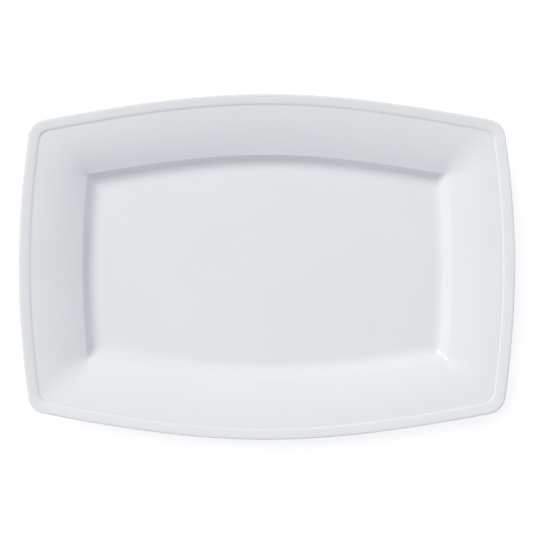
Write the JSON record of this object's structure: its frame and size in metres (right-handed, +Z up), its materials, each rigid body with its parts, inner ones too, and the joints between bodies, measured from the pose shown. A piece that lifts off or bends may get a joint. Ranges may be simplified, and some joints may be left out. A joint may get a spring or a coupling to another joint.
{
  "type": "serving platter",
  "caption": "Bowed oblong china serving platter with a flat well, broad sloping rim, raised lip and a foot ring to stand on.",
  "frame": {"origin": "middle of the platter in plan, level with the foot's contact band", "axes": "+X along the platter's length, +Y across its width, +Z up out of the well"},
  "size_m": [0.356, 0.248, 0.03],
  "materials": {
    "china_clay": "matte",
    "white_glaze": "gloss"
  },
  "bodies": {
    "root": {"china_body": "china_clay", "glaze_face": "white_glaze", "glaze_base": "white_glaze"}
  },
  "joints": []
}
